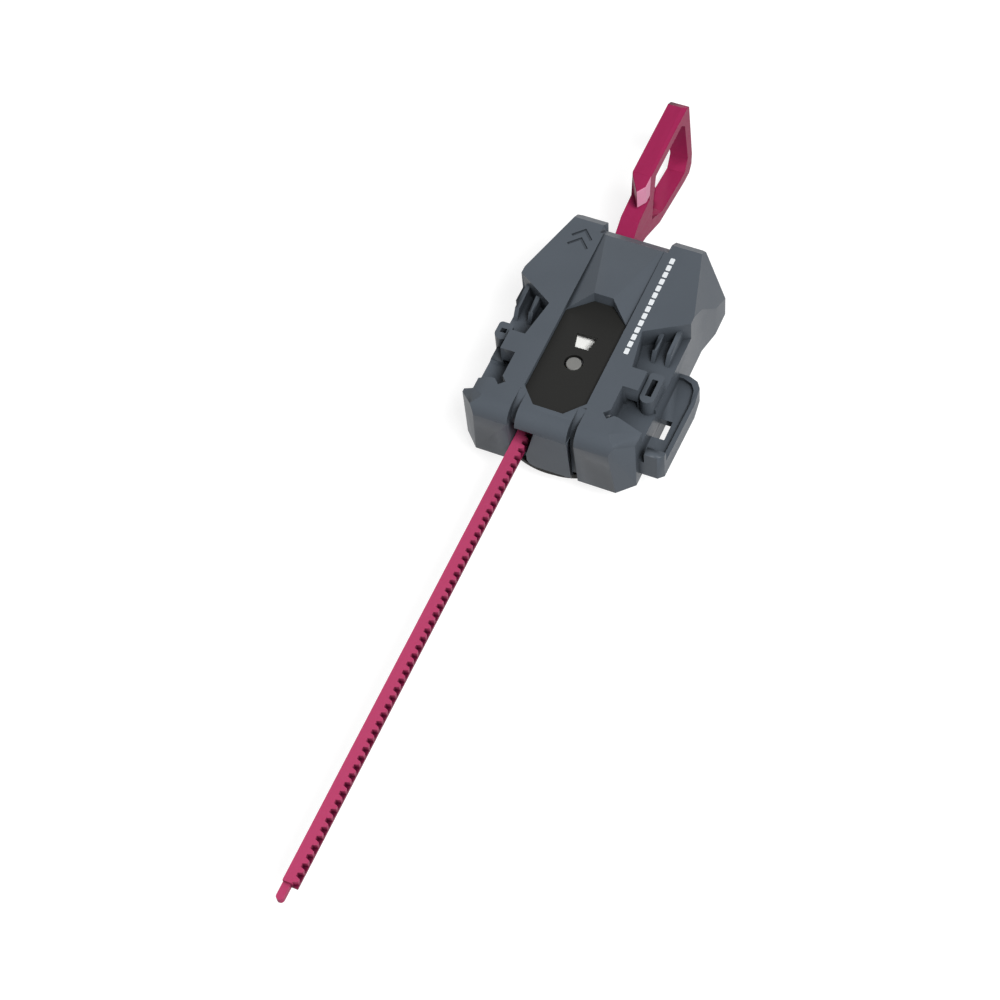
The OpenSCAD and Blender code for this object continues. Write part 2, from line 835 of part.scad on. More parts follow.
module upper_bush() {
    color(brass) difference() {
        union() {
            rod(bush_r, cover_z, upper_bush_top + fit);
            rod(bush_r + bush_lip, upper_bush_top, upper_bush_top + bush_lip_t);
        }
        rod(shaft_r + run, base_z, reach);
    }
}

// Round skirt with a screwed flange
module hub_collar() {
    color(black) difference() {
        rotate_extrude() polygon([
            [collar_r - collar_t, 0],
            [collar_r, 0],
            [collar_r + collar_t, base_z - flange_t],
            [flange_r, base_z - flange_t],
            [flange_r, base_z],
            [collar_r - collar_t, base_z]
        ]);
        collar_screw_places() rod(small_screw_r + gap, -over, reach);
    }
}

// Head with three hooks that carry the top
hook_angle = 26;
foot_angle = 30;
hook_foot_t = 0.67 * hook_w;
hook_z = 0.1 * base_z;
function hook_start(k) = 120 * k - 13;
module launch_head() {
    color(black) difference() {
        union() {
            rod(head_r, head_z, head_top);
            tube(head_r, head_r - collar_t, head_z - 0.5 * head_t, head_top);
            for (k = [0:5])
                rotate(60 * k + 30)
                    span([foot_r + 2 * slip, -collar_t / 2, head_z - 0.4 * head_t],
                         [head_r - collar_t / 2, collar_t / 2, head_top]);
            for (k = [0:2]) {
                rotate(hook_start(k)) rotate_extrude(angle = hook_angle)
                    translate([hook_r - hook_w, hook_z]) square([hook_w, head_z - hook_z + fit]);
                rotate(hook_start(k)) rotate_extrude(angle = hook_angle + foot_angle)
                    translate([hook_r - hook_w, hook_z]) square([hook_w, hook_foot_t]);
            }
        }
        rod(shaft_r + fit, 0, reach);
    }
}

// Hollow shaft with a groove for the clip
module hub_shaft() {
    color(steel) difference() {
        tube(shaft_r, shaft_bore_r, head_z, shaft_top);
        tube(2 * shaft_r, clip_seat_r, clip_z - fit, clip_z + clip_t + fit);
    }
}

// Gear with involute flanks
base_circle = pitch_r * cos(pressure);
tip_r = pitch_r + addendum;
root_r = pitch_r - dedendum;
half_tooth = (tooth_pitch / 2 - backlash) / 2 / pitch_r * 180 / PI;
function involute(a) = tan(a) * 180 / PI - a;
function flank(r) = half_tooth + involute(pressure) - involute(acos(min(1, base_circle / r)));
flank_shares = [0, 0.25, 0.5, 0.75, 1];
function flank_r(k) = base_circle + flank_shares[k] * (tip_r - base_circle);
function polar(r, a) = [r * cos(a), r * sin(a)];
module gear_tooth() {
    polygon(concat(
        [polar(0.9 * root_r, -flank(base_circle))],
        [for (k = [0:4]) polar(flank_r(k), -flank(flank_r(k)))],
        [for (k = [4:-1:0]) polar(flank_r(k), flank(flank_r(k)))],
        [polar(0.9 * root_r, flank(base_circle))]
    ));
}

module drive_gear() {
    color(white) difference() {
        union() {
            translate([0, 0, gear_z]) linear_extrude(gear_top - gear_z) union() {
                circle(root_r);
                for (k = [0:gear_teeth - 1]) rotate(180 + 360 * k / gear_teeth) gear_tooth();
            }
            rod(gear_hub_r, gear_hub_z, gear_hub_top);
        }
        rod(shaft_r + fit, base_z, reach);
    }
}

// White disc under the plate's window, with three ports
module rotor_disc() {
    color(white) difference() {
        union() {
            rod(disc_r, disc_z, disc_top);
            rod(bush_r, disc_hub_z, disc_top);
        }
        rod(shaft_r + fit, base_z, reach);
        for (k = [0:2])
            rotate(120 * k + 15) translate([0, 0, base_z]) rotate_extrude(angle = 30)
                translate([0.62 * disc_r, 0]) square([0.28 * disc_r, reach]);
    }
}

module thrust_washer() {
    color(steel) tube(bush_r, shaft_r + gap, washer_z, washer_z + washer_t);
}

// Spring clip in the shaft's groove, open on one side
module retaining_clip() {
    color(steel) difference() {
        tube(clip_r, clip_seat_r + fit, clip_z, clip_z + clip_t);
        span([0, -0.6 * shaft_r, clip_z - over], [2 * clip_r, 0.6 * shaft_r, clip_z + clip_t + over]);
    }
}

module spring_stop() {
    color(brass) tube(shaft_bore_r - fit, rod_r + gap, stop_z, stop_z + stop_t);
}

// Rod with a foot that the hooked-on top pushes up
module plunger() {
    color(steel) {
        rod(rod_r, shoulder_z - fit, cap_z + cap_socket - gap);
        rod(slide_r, foot_z, shoulder_z);
        rod(foot_r, foot_z, foot_z + foot_t);
    }
}

module plunger_cap() {
    color(steel) difference() {
        rod(cap_r, cap_z, cap_top);
        rod(rod_r + fit, cap_z - over, cap_z + cap_socket);
    }
}

// One unbroken coil: rings of points along the helix, joined to the next ring
coil_rings = 8;
coil_sides = 6;
coil_count = spring_turns * coil_rings;
function coil_point(i, k) =
    let (a = 360 * i / coil_rings,
         r = coil_r + wire_d / 2 * cos(360 * k / coil_sides),
         z = coil_z0 + coil_pitch * i / coil_rings + wire_d / 2 * sin(360 * k / coil_sides))
    [r * cos(a), r * sin(a), z];
module plunger_spring() {
    points = [for (i = [0:coil_count], k = [0:coil_sides - 1]) coil_point(i, k)];
    sides = [for (i = [0:coil_count - 1], k = [0:coil_sides - 1])
        let (n = (k + 1) % coil_sides, a = i * coil_sides, b = a + coil_sides)
        [a + k, b + k, b + n, a + n]];
    last = coil_count * coil_sides;
    ends = [[for (k = [0:coil_sides - 1]) k], [for (k = [coil_sides - 1:-1:0]) last + k]];
    color(steel) polyhedron(points = points, faces = concat(sides, ends), convexity = 10);
}

// Toothed strip with its pull ring
rack_half = (tooth_pitch / 2 - backlash) / 2;
rack_flank = tan(pressure);
module rack_teeth() {
    translate([0, 0, strip_z + flange_h - fit]) linear_extrude(strip_h - flange_h + fit)
        polygon(concat(
            [[-rack_root - spine_t / 2, rack_front_y], [-rack_root, rack_front_y]],
            [for (j = [-teeth_front:teeth_back - 1], k = [0:3])
                [k == 0 || k == 3 ? -rack_root : -rack_tip,
                 (j + 0.5) * tooth_pitch + (k < 2 ? -1 : 1)
                    * (rack_half + (k == 0 || k == 3 ? dedendum : -addendum) * rack_flank)]],
            [[-rack_root, rack_rear_y], [-rack_root - spine_t / 2, rack_rear_y]]
        ));
}

// Points of the pull ring: share of its length, share of its half height
ring_y = body_back - front_lean / 2;
ring_shares = [
    [0, 0.12], [0.11, 0.2], [0.19, 0.36], [0.34, 0.42], [0.37, 0.98], [0.89, 1],
    [0.935, 0.9], [0.975, -0.6], [0.965, -0.87], [0.93, -1], [0.86, -1], [0.477, -0.78],
    [0.28, -0.45], [0.17, -0.34], [0.11, -0.2], [0, -0.12]
];
hole_shares = [
    [0.44, 0.74], [0.82, 0.76], [0.87, 0.58], [0.91, -0.5], [0.86, -0.76],
    [0.52, -0.6], [0.37, -0.26], [0.4, 0.3]
];
function ring_points(shares) = [for (p = shares) [ring_y + ring_len * p.x, strip_mid_z + ring_half_h * p.y]];

// Everything below the top edges of the ring: a narrow bevel on the left, a broad one on the right
module under_ring_bevel() {
    side = ring_t / 2 + over;
    crest = ring_half_h + over;
    translate([strip_mid_x, ring_y + ring_len, strip_mid_z])
        rotate([90, 0, 0]) linear_extrude(ring_len + over)
            polygon([
                [-side, -crest],
                [side, -crest],
                [side, crest - 1.5 * ring_bevel],
                [-0.2 * ring_t, crest],
                [ring_bevel / 3 - side, crest],
                [-side, crest - ring_bevel / 3]
            ]);
}

// Thin web in the near corner of the ring's hole
web_shares = [[0.36, 0.45], [0.567, -0.02], [0.6, -0.35], [0.56, -0.68], [0.36, -0.35]];

module pull_ring() {
    along_x(strip_mid_x - 0.3 * ring_t, strip_mid_x - 0.15 * ring_t) polygon(ring_points(web_shares));
    intersection() {
        along_x(strip_mid_x - ring_t / 2, strip_mid_x + ring_t / 2) difference() {
            polygon(ring_points(ring_shares));
            polygon(ring_points(hole_shares));
        }
        under_ring_bevel();
    }
}

module winder() {
    tongue_w = 0.8 * spine_t;
    tongue_h = 0.65 * strip_h;
    color(magenta) {
        span([-rack_back, rack_front_y, strip_z], [-rack_root, ring_y + 0.1 * ring_len, strip_top]);
        span([-rack_root - fit, rack_front_y, strip_z], [-rack_tip, rack_rear_y, strip_z + flange_h]);
        span([-rack_root - fit, rack_rear_y - fit, strip_z], [-rack_tip, ring_y + 0.1 * ring_len, strip_top]);
        rack_teeth();
        translate([tongue_w / 2 - rack_back, rack_front_y - tongue_len + tongue_w / 2, strip_z])
            cylinder(r = tongue_w / 2, h = tongue_h);
        span([-rack_back, rack_front_y - tongue_len + tongue_w / 2, strip_z],
             [tongue_w - rack_back, rack_front_y + fit, strip_z + tongue_h]);
        pull_ring();
    }
}

upper_housing();
lower_housing();
top_plate();
gear_cover();
gear_cover_screws();
upper_bush();
lower_bush();
hub_collar();
collar_screws();
housing_screws();
launch_head();
hub_shaft();
drive_gear();
rotor_disc();
thrust_washer();
retaining_clip();
spring_stop();
plunger();
plunger_cap();
plunger_spring();
winder();
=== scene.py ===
"""Looks of a spinning top launcher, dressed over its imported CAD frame."""

import math

import bmesh
import bpy
from bpy.props import FloatProperty, FloatVectorProperty, IntProperty, PointerProperty
from mathutils import Euler, Matrix, Vector


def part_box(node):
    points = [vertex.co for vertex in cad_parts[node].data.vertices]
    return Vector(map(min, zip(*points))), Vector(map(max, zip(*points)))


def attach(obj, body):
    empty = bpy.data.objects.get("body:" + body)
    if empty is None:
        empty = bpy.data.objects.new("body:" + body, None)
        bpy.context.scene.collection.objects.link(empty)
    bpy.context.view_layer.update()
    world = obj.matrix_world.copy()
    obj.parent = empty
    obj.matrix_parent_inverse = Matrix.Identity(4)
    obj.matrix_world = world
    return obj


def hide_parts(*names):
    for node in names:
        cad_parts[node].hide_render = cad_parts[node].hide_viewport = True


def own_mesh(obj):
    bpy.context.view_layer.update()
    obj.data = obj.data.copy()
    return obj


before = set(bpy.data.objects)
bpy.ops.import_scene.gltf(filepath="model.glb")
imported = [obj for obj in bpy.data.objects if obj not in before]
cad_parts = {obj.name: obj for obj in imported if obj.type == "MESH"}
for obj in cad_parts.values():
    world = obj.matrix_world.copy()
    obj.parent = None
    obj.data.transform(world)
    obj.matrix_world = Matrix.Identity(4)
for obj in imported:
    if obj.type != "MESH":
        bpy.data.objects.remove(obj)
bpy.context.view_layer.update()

bl_info = {
    "name": "Spinning Top Launcher",
    "version": (1, 0, 0),
    "blender": (4, 5, 0),
    "location": "3D View > Sidebar > Launcher",
    "description": "Dresses the launcher's CAD frame with moulded edges, finishes and a studio",
    "category": "Add Mesh",
}

MM = 0.001


def linear(hex_colour):
    """Turn an sRGB hex colour into the linear values that shaders take."""
    channels = [int(hex_colour[k:k + 2], 16) / 255 for k in (1, 3, 5)]
    return tuple(c / 12.92 if c <= 0.04045 else ((c + 0.055) / 1.055) ** 2.4 for c in channels)


# Metals
STEEL = linear("#B9BBBF")
SPRING_STEEL = linear("#9EA1A6")
BRASS = linear("#C9A860")
WAVE_RINGS = 20 / (2 * math.pi)  # rings that a Wave texture draws per unit at scale 1

# Edges of the mouldings
WELD = 0.002 * MM
FLAT_TURN = math.radians(0.5)  # faces that turn less than this are one face
CREASED_TURN = math.radians(13)  # edges that turn more than this stay sharp, unless rounded
ROUNDED_TURN = math.radians(22)  # outer edges that turn more than this are rounded
SIDE_SHARE = 0.4  # share of a side edge's length that a rounding may take
SAME_WAY = 0.8  # cosine from which two edges run the same way

# Places on the winder where its painted light and shade begin, and where they are full: painted
# light along the strip, painted shade at the foot of the teeth
STRIP_Y = (45 * MM, 25 * MM)
TOOTH_ROOT_X = (-7.2 * MM, -6.9 * MM)
TOOTH_FOOT_Z = (15.9 * MM, 14.5 * MM)

# The pointed near end of the ring's upper bar
PROW_PLAN = [(-9.95, 65.3), (-9.95, 64.5), (-6.3, 58.55), (-4.65, 61.2), (-4.65, 65.3)]
PROW_LOW = 22.1 * MM
PROW_HIGH = 28.75 * MM
PROW_EDGE = 0.25 * MM
# The prow's faces that look to the right get a paler nylon: a painted highlight.
PAINTED_LIT_SIDE = 0.5  # faces that look to the right by more than this are pale

# Spring
WIRE_SIDES = 10
STEPS_PER_TURN = 28

# Printed row on the right wing
ROW_X = 11.8 * MM
ROW_FRONT = 6.4 * MM
ROW_BACK = 40.4 * MM
WING_DROP = 2.1 * MM  # from the highest point of the shell to the wing's top
INK_FILM = 0.03 * MM
DASH_SHARE = 0.78  # share of the pitch that a dash takes
NIB_SHARE = 0.25  # share of half a dash that its clipped corner takes

# Studio
FLOOR_HALF = 4
PAPER_GREY = (0.3, 0.3, 0.3, 1)
PAPER_GLOW = 0.8
LAMP_TARGET = (0, 0.02, 0.02)
SENSOR_WIDTH = 36


class LauncherColours(bpy.types.PropertyGroup):
    """Colours of the mouldings and the print."""

    shell: FloatVectorProperty(
        name="Shell", description="Grey of the two housing halves",
        subtype="COLOR", min=0, max=1, default=linear("#4B5158"))
    plate: FloatVectorProperty(
        name="Plate", description="Black of the plate, the collar and the launch head",
        subtype="COLOR", min=0, max=1, default=linear("#1E1E1D"))
    winder: FloatVectorProperty(
        name="Winder", description="Magenta of the pull ring and its neck",
        subtype="COLOR", min=0, max=1, default=linear("#93264F"))
    # Painted light: the strip's lighter magenta stands in for light showing through the thin
    # nylon.
    strip: FloatVectorProperty(
        name="Strip", description="Lighter magenta of the thin toothed strip",
        subtype="COLOR", min=0, max=1, default=linear("#A83E62"))
    # Painted highlight: this pale pink goes on the prow's faces that look to the right.
    clear: FloatVectorProperty(
        name="Painted lit side", description="Pale pink of the thin edge that lets light through",
        subtype="COLOR", min=0, max=1, default=linear("#D890AC"))
    button: FloatVectorProperty(
        name="Button", description="Grey of the button in the plate",
        subtype="COLOR", min=0, max=1, default=linear("#737371"))
    acetal: FloatVectorProperty(
        name="Gear", description="White of the gear and the rotor disc",
        subtype="COLOR", min=0, max=1, default=linear("#EDEDEA"))
    ink: FloatVectorProperty(
        name="Print", description="White of the dashes printed on the right wing",
        subtype="COLOR", min=0, max=1, default=linear("#D5D9DC"))


class LauncherSizes(bpy.types.PropertyGroup):
    """Sizes of the details that the frame leaves open."""

    shell_edge: FloatProperty(
        name="Shell edge", description="Width of the soft edges on the housing",
        subtype="DISTANCE", unit="LENGTH", default=0.45 * MM, min=0.05 * MM, max=1 * MM)
    plate_edge: FloatProperty(
        name="Plate edge", description="Width of the soft edges on the black mouldings",
        subtype="DISTANCE", unit="LENGTH", default=0.2 * MM, min=0.05 * MM, max=0.5 * MM)
    winder_edge: FloatProperty(
        name="Winder edge", description="Width of the soft edges on strip and ring",
        subtype="DISTANCE", unit="LENGTH", default=0.5 * MM, min=0.05 * MM, max=1 * MM)
    button_edge: FloatProperty(
        name="Button edge", description="Width of the rounded rim of the button",
        subtype="DISTANCE", unit="LENGTH", default=0.3 * MM, min=0.05 * MM, max=0.5 * MM)
    spring_wire: FloatProperty(
        name="Spring wire", description="Thickness of the spring's wire",
        subtype="DISTANCE", unit="LENGTH", default=0.44 * MM, min=0.2 * MM, max=0.5 * MM)
    spring_turns: IntProperty(
        name="Spring turns", description="Number of turns of the spring",
        default=10, min=4, max=14)
    dash_count: IntProperty(
        name="Dashes", description="Number of dashes in the printed row",
        default=14, min=1, max=30)
    dash_width: FloatProperty(
        name="Dash width", description="Width of the printed dashes",
        subtype="DISTANCE", unit="LENGTH", default=1.25 * MM, min=0.2 * MM, max=2 * MM)


class LauncherStudio(bpy.types.PropertyGroup):
    """Camera and light of the stage."""

    camera_place: FloatVectorProperty(
        name="Camera place", description="Where the camera stands",
        subtype="TRANSLATION", unit="LENGTH", default=(0.16138, -0.32601, 0.51772))
    camera_turn: FloatVectorProperty(
        name="Camera turn", description="How the camera is turned",
        subtype="EULER", unit="ROTATION",
        default=(math.radians(33.2822), math.radians(4.0234), math.radians(23.9108)))
    lens: FloatProperty(
        name="Lens", description="Focal length of the camera in millimetres",
        subtype="DISTANCE_CAMERA", default=85, min=20, max=200)
    key: FloatProperty(
        name="Key light", description="Power of the lamp high on the front right",
        unit="POWER", default=17.5, min=0, max=100)
    fill: FloatProperty(
        name="Fill light", description="Power of the wide lamp on the left",
        unit="POWER", default=1.8, min=0, max=100)
    back: FloatProperty(
        name="Back light", description="Power of the lamp behind the ring",
        unit="POWER", default=4, min=0, max=100)
    sky: FloatProperty(
        name="Room light", description="Strength of the even light from all round",
        default=0.22, min=0, max=2)


class LauncherSettings(bpy.types.PropertyGroup):
    """All settings of the launcher."""

    colours: PointerProperty(type=LauncherColours)
    sizes: PointerProperty(type=LauncherSizes)
    studio: PointerProperty(type=LauncherStudio)


# Materials

def add_node(tree, kind, inputs=None, **settings):
    """Add a node, set it up and link or set its inputs."""
    node = tree.nodes.new(kind)
    for name, value in settings.items():
        setattr(node, name, value)
    for name, value in (inputs or {}).items():
        if isinstance(value, bpy.types.NodeSocket):
            tree.links.new(value, node.inputs[name])
        else:
            node.inputs[name].default_value = value
    return node


def new_material(name):
    """An empty material and the Object coordinates that its patterns read."""
    material = bpy.data.materials.new(name)
    material.use_nodes = True
    tree = material.node_tree
    tree.nodes.clear()
    place = add_node(tree, "ShaderNodeTexCoord").outputs["Object"]
    return material, tree, place


def finish_material(tree, surface):
    """Send a surface to the material's output."""
    add_node(tree, "ShaderNodeOutputMaterial", {"Surface": surface.outputs[0]})


def per_mm(size):
    """Texture scale for a pattern whose features are this many millimetres wide."""
    return 1 / (size * MM)


def shade(colour, factor=1):
    """A lighter or darker version of a linear colour, with full opacity."""
    return tuple(min(1, c * factor) for c in colour) + (1,)


def painted_corner_shade(tree, tone, depth, darkest):
    """Darken a tone in inner corners, by ambient occlusion reaching this many millimetres: painted
    shade.
    """
    openness = add_node(
        tree, "ShaderNodeAmbientOcclusion", {"Distance": depth * MM}, samples=12, only_local=True)
    share = add_node(tree, "ShaderNodeMapRange", {
        "Value": openness.outputs["AO"], "From Min": 0.3, "From Max": 0.85, "To Min": darkest})
    corner_shaded = add_node(tree, "ShaderNodeVectorMath", {
        "Vector": tone.outputs["Result"], "Scale": share.outputs["Result"]}, operation="SCALE")
    return corner_shaded.outputs["Vector"]


def satin_abs(name, colour, roughness=0.38):
    """Moulded ABS from a spark-eroded tool: an even satin with a fine pebbled grain."""
    material, tree, place = new_material(name)
    # The real grain is about 0.1 mm; it is drawn at 0.35 mm so that it shows.
    grain = add_node(tree, "ShaderNodeTexNoise", {
        "Vector": place, "Scale": per_mm(0.35), "Detail": 2})
    drift = add_node(tree, "ShaderNodeTexNoise", {
        "Vector": place, "Scale": per_mm(14), "Detail": 3})
    tone = add_node(tree, "ShaderNodeMix", {
        "Factor": drift.outputs["Fac"], "A": shade(colour, 0.93), "B": shade(colour, 1.07)},
        data_type="RGBA")
    sheen = add_node(tree, "ShaderNodeMapRange", {
        "Value": drift.outputs["Fac"], "From Min": 0.3, "From Max": 0.7,
        "To Min": roughness - 0.04, "To Max": roughness + 0.04})
    bump = add_node(tree, "ShaderNodeBump", {
        "Height": grain.outputs["Fac"], "Strength": 0.15, "Distance": 0.05 * MM})
    # The base colour is darkened in inner corners: painted shade.
    surface = add_node(tree, "ShaderNodeBsdfPrincipled", {
        "Base Color": painted_corner_shade(tree, tone, depth=7, darkest=0.4),
        "Roughness": sheen.outputs["Result"], "IOR": 1.54, "Specular IOR Level": 0.12,
        "Normal": bump.outputs["Normal"]})
    finish_material(tree, surface)
    return material


def strip_light_and_foot_shade(tree, place, tone, thin, foot_shade):
    """Lighten a tone along the thin strip as painted light, and darken it at the foot of the teeth
    as painted shade.
    """
    axes = add_node(tree, "ShaderNodeSeparateXYZ", {"Vector": place})
    share = {}
    for axis, (begin, end) in {"X": TOOTH_ROOT_X, "Y": STRIP_Y, "Z": TOOTH_FOOT_Z}.items():
        share[axis] = add_node(tree, "ShaderNodeMapRange", {
            "Value": axes.outputs[axis], "From Min": begin, "From Max": end}).outputs["Result"]
    gaps = add_node(tree, "ShaderNodeMath", {0: share["X"], 1: share["Z"]}, operation="MULTIPLY")
    shaded_feet = add_node(tree, "ShaderNodeMath", {
        0: gaps.outputs[0], 1: share["Y"]}, operation="MULTIPLY")
    lighter = add_node(tree, "ShaderNodeMix", {
        "Factor": share["Y"], "A": tone.outputs["Result"], "B": thin}, data_type="RGBA")
    return add_node(tree, "ShaderNodeMix", {
        "Factor": shaded_feet.outputs[0], "A": lighter.outputs["Result"], "B": foot_shade}, data_type="RGBA")


def gloss_polyamide(name, colour, thin=None):
    """Moulded nylon: glossy, with a little light scattered under the surface and flow lines along
    the strip; a thin colour adds painted light along the strip and painted shade at the teeth's
    feet.
    """
    material, tree, place = new_material(name)
    stretch = add_node(tree, "ShaderNodeMapping", {"Vector": place, "Scale": (1, 0.12, 1)})
    flow = add_node(tree, "ShaderNodeTexNoise", {
        "Vector": stretch.outputs["Vector"], "Scale": per_mm(1.2), "Detail": 3})
    tone = add_node(tree, "ShaderNodeMix", {
        "Factor": flow.outputs["Fac"], "A": shade(colour, 0.92), "B": shade(colour, 1.08)},
        data_type="RGBA")
    # With a thin colour: painted light along the strip and painted shade at the foot of the teeth.
    if thin is not None:
        tone = strip_light_and_foot_shade(tree, place, tone, shade(thin), shade(colour, 0.7))
    sheen = add_node(tree, "ShaderNodeMapRange", {
        "Value": flow.outputs["Fac"], "From Min": 0.3, "From Max": 0.7,
        "To Min": 0.28, "To Max": 0.36})
    bump = add_node(tree, "ShaderNodeBump", {
        "Height": flow.outputs["Fac"], "Strength": 0.06, "Distance": 0.05 * MM})
    # The base colour is darkened in inner corners: painted shade.
    surface = add_node(tree, "ShaderNodeBsdfPrincipled", {
        "Base Color": painted_corner_shade(tree, tone, depth=3, darkest=0.25),
        "Roughness": sheen.outputs["Result"], "IOR": 1.53, "Specular IOR Level": 0.02,
        "Subsurface Weight": 0.08, "Subsurface Radius": (1, 0.3, 0.45),
        "Subsurface Scale": 0.6 * MM, "Normal": bump.outputs["Normal"]})
    finish_material(tree, surface)
    return material


def turned_metal(name, colour, roughness):
    """Metal turned on a lathe: rings round the axis that spread the highlights."""
    material, tree, place = new_material(name)
    # The tool's feed is about 0.1 mm; the rings are drawn 1.885 mm apart so that they show.
    rings = add_node(tree, "ShaderNodeTexWave", {
        "Vector": place, "Scale": per_mm(1.885) / WAVE_RINGS, "Distortion": 0.4, "Detail": 1},
        wave_type="RINGS", rings_direction="Z")
    tarnish = add_node(tree, "ShaderNodeTexNoise", {
        "Vector": place, "Scale": per_mm(3), "Detail": 4})
    tone = add_node(tree, "ShaderNodeMix", {
        "Factor": tarnish.outputs["Fac"], "A": shade(colour, 0.85), "B": shade(colour, 1.1)},
        data_type="RGBA")
    sheen = add_node(tree, "ShaderNodeMapRange", {
        "Value": tarnish.outputs["Fac"],
        "To Min": roughness - 0.06, "To Max": roughness + 0.08})
    bump = add_node(tree, "ShaderNodeBump", {
        "Height": rings.outputs["Fac"], "Strength": 0.1, "Distance": 0.02 * MM})
    surface = add_node(tree, "ShaderNodeBsdfPrincipled", {
        "Base Color": tone.outputs["Result"], "Metallic": 1,
        "Roughness": sheen.outputs["Result"], "Normal": bump.outputs["Normal"]})
    finish_material(tree, surface)
    return material


def printed_ink(name, colour):
    """Pad-printed ink: a thin flat film whose cover varies a little."""
    material, tree, place = new_material(name)
    cover = add_node(tree, "ShaderNodeTexNoise", {
        "Vector": place, "Scale": per_mm(0.4), "Detail": 3})
    tone = add_node(tree, "ShaderNodeMix", {
        "Factor": cover.outputs["Fac"], "A": shade(colour, 0.9), "B": shade(colour, 1.05)},
        data_type="RGBA")
    surface = add_node(tree, "ShaderNodeBsdfPrincipled", {
        "Base Color": tone.outputs["Result"], "Roughness": 0.6, "IOR": 1.5})
    finish_material(tree, surface)
    return material


def seen_directly(tree):
    """One for rays from the camera, from gloss and through glass, and nought for spread light."""
    rays = add_node(tree, "ShaderNodeLightPath")
    seen = add_node(tree, "ShaderNodeMath", {
        0: rays.outputs["Is Camera Ray"], 1: rays.outputs["Is Glossy Ray"]}, operation="MAXIMUM")
    seen = add_node(tree, "ShaderNodeMath", {
        0: seen.outputs[0], 1: rays.outputs["Is Transmission Ray"]}, operation="MAXIMUM")
    return seen.outputs[0]


def studio_white(name):
    """Matt white sheet that stays white to the eye of the camera and keeps the shadow."""
    material, tree, place = new_material(name)
    tooth = add_node(tree, "ShaderNodeTexNoise", {"Vector": place, "Scale": per_mm(0.8)})
    bump = add_node(tree, "ShaderNodeBump", {
        "Height": tooth.outputs["Fac"], "Strength": 0.02, "Distance": 0.1 * MM})
    sheet = add_node(tree, "ShaderNodeBsdfDiffuse", {
        "Color": PAPER_GREY, "Normal": bump.outputs["Normal"]})
    glow = add_node(tree, "ShaderNodeEmission", {"Strength": PAPER_GLOW})
    both = add_node(tree, "ShaderNodeAddShader", {0: sheet.outputs[0], 1: glow.outputs[0]})
    surface = add_node(tree, "ShaderNodeMixShader", {
        "Fac": seen_directly(tree), 1: sheet.outputs[0], 2: both.outputs[0]})
    finish_material(tree, surface)
    return material


# Shapes

def new_piece(name, shape, body, material):
    """Make a piece from a bmesh, in place, riding on a body."""
    mesh = bpy.data.meshes.new(name)
    shape.to_mesh(mesh)
    shape.free()
    mesh.materials.append(material)
    mesh.polygons.foreach_set("use_smooth", [True] * len(mesh.polygons))
    piece = bpy.data.objects.new(name, mesh)
    bpy.context.scene.collection.objects.link(piece)
    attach(piece, body)
    return piece


def room_beside(edge):
    """How wide a bevel of this edge may be before it meets the next edge."""
    room = 1.0
    for corner in edge.verts:
        along = (edge.other_vert(corner).co - corner.co).normalized()
        for other in corner.link_edges:
            if other is edge or not set(other.link_faces) & set(edge.link_faces):
                continue
            away = other.other_vert(corner).co - corner.co
            if away.length > 0 and abs(away.normalized().dot(along)) < SAME_WAY:
                room = min(room, SIDE_SHARE * away.length)
    return room


def soft_edged(node, name, body, material, width, shortest=0.0):
    """Copy a CAD node and round its outer edges, leaving those with too little room sharp."""
    shape = bmesh.new()
    shape.from_mesh(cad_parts[node].data)
    bmesh.ops.remove_doubles(shape, verts=shape.verts, dist=WELD)
    bmesh.ops.dissolve_limit(
        shape, angle_limit=FLAT_TURN, verts=shape.verts, edges=shape.edges)
    weight = shape.edges.layers.float.new("bevel_weight_edge")
    for edge in shape.edges:
        turn = edge.calc_face_angle(0)
        roomy = edge.calc_length() > shortest and room_beside(edge) > width
        if edge.is_convex and turn > ROUNDED_TURN and roomy:
            edge[weight] = 1
        elif turn > CREASED_TURN:
            edge.smooth = False
    piece = new_piece(name, shape, body, material)
    bevel = piece.modifiers.new("soft_edges", "BEVEL")
    bevel.width = width
    bevel.segments = 2
    bevel.limit_method = "WEIGHT"
    bevel.loop_slide = False
    piece.modifiers.new("even_shading", "WEIGHTED_NORMAL").keep_sharp = True
    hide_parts(node)
    return piece


def raise_outline(shape, outline, low, rise):
    """Draw a closed outline at a height and pull it up to a solid."""
    face = shape.faces.new([shape.verts.new((x, y, low)) for x, y in outline])
    raised = bmesh.ops.extrude_face_region(shape, geom=[face])["geom"]
    bmesh.ops.translate(
        shape, vec=(0, 0, rise), verts=[v for v in raised if isinstance(v, bmesh.types.BMVert)])
    bmesh.ops.recalc_face_normals(shape, faces=shape.faces)


def dress(nodes, material):
    """Give CAD nodes whose shape is right their finish."""
    for node in nodes:
        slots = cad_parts[node].data.materials
        slots.clear()
        slots.append(material)


# Operators

class LAUNCHER_OT_shell(bpy.types.Operator):
    """Round the edges of the two grey housing halves and give them their satin"""

    bl_idname = "launcher.shell"
    bl_label = "Shell"

    def execute(self, context):
        settings = context.scene.launcher
        satin = satin_abs("Satin grey ABS", settings.colours.shell)
        edge = settings.sizes.shell_edge
        soft_edged("upper_housing", "upper_shell", "housing", satin, edge)
        soft_edged("lower_housing", "lower_shell", "housing", satin, edge)
        return {"FINISHED"}


class LAUNCHER_OT_black_mouldings(bpy.types.Operator):
    """Round the edges of the plate, the collar and the launch head and blacken the gear cover"""

    bl_idname = "launcher.black_mouldings"
    bl_label = "Black mouldings"

    def execute(self, context):
        settings = context.scene.launcher
        black = satin_abs("Matt black ABS", settings.colours.plate, roughness=0.55)
        edge = settings.sizes.plate_edge
        soft_edged("top_plate", "plate", "housing", black, edge)
        soft_edged("hub_collar", "collar", "housing", black, edge)
        soft_edged("launch_head", "hook_head", "hub", black, edge)
        dress(["gear_cover"], black)
        return {"FINISHED"}


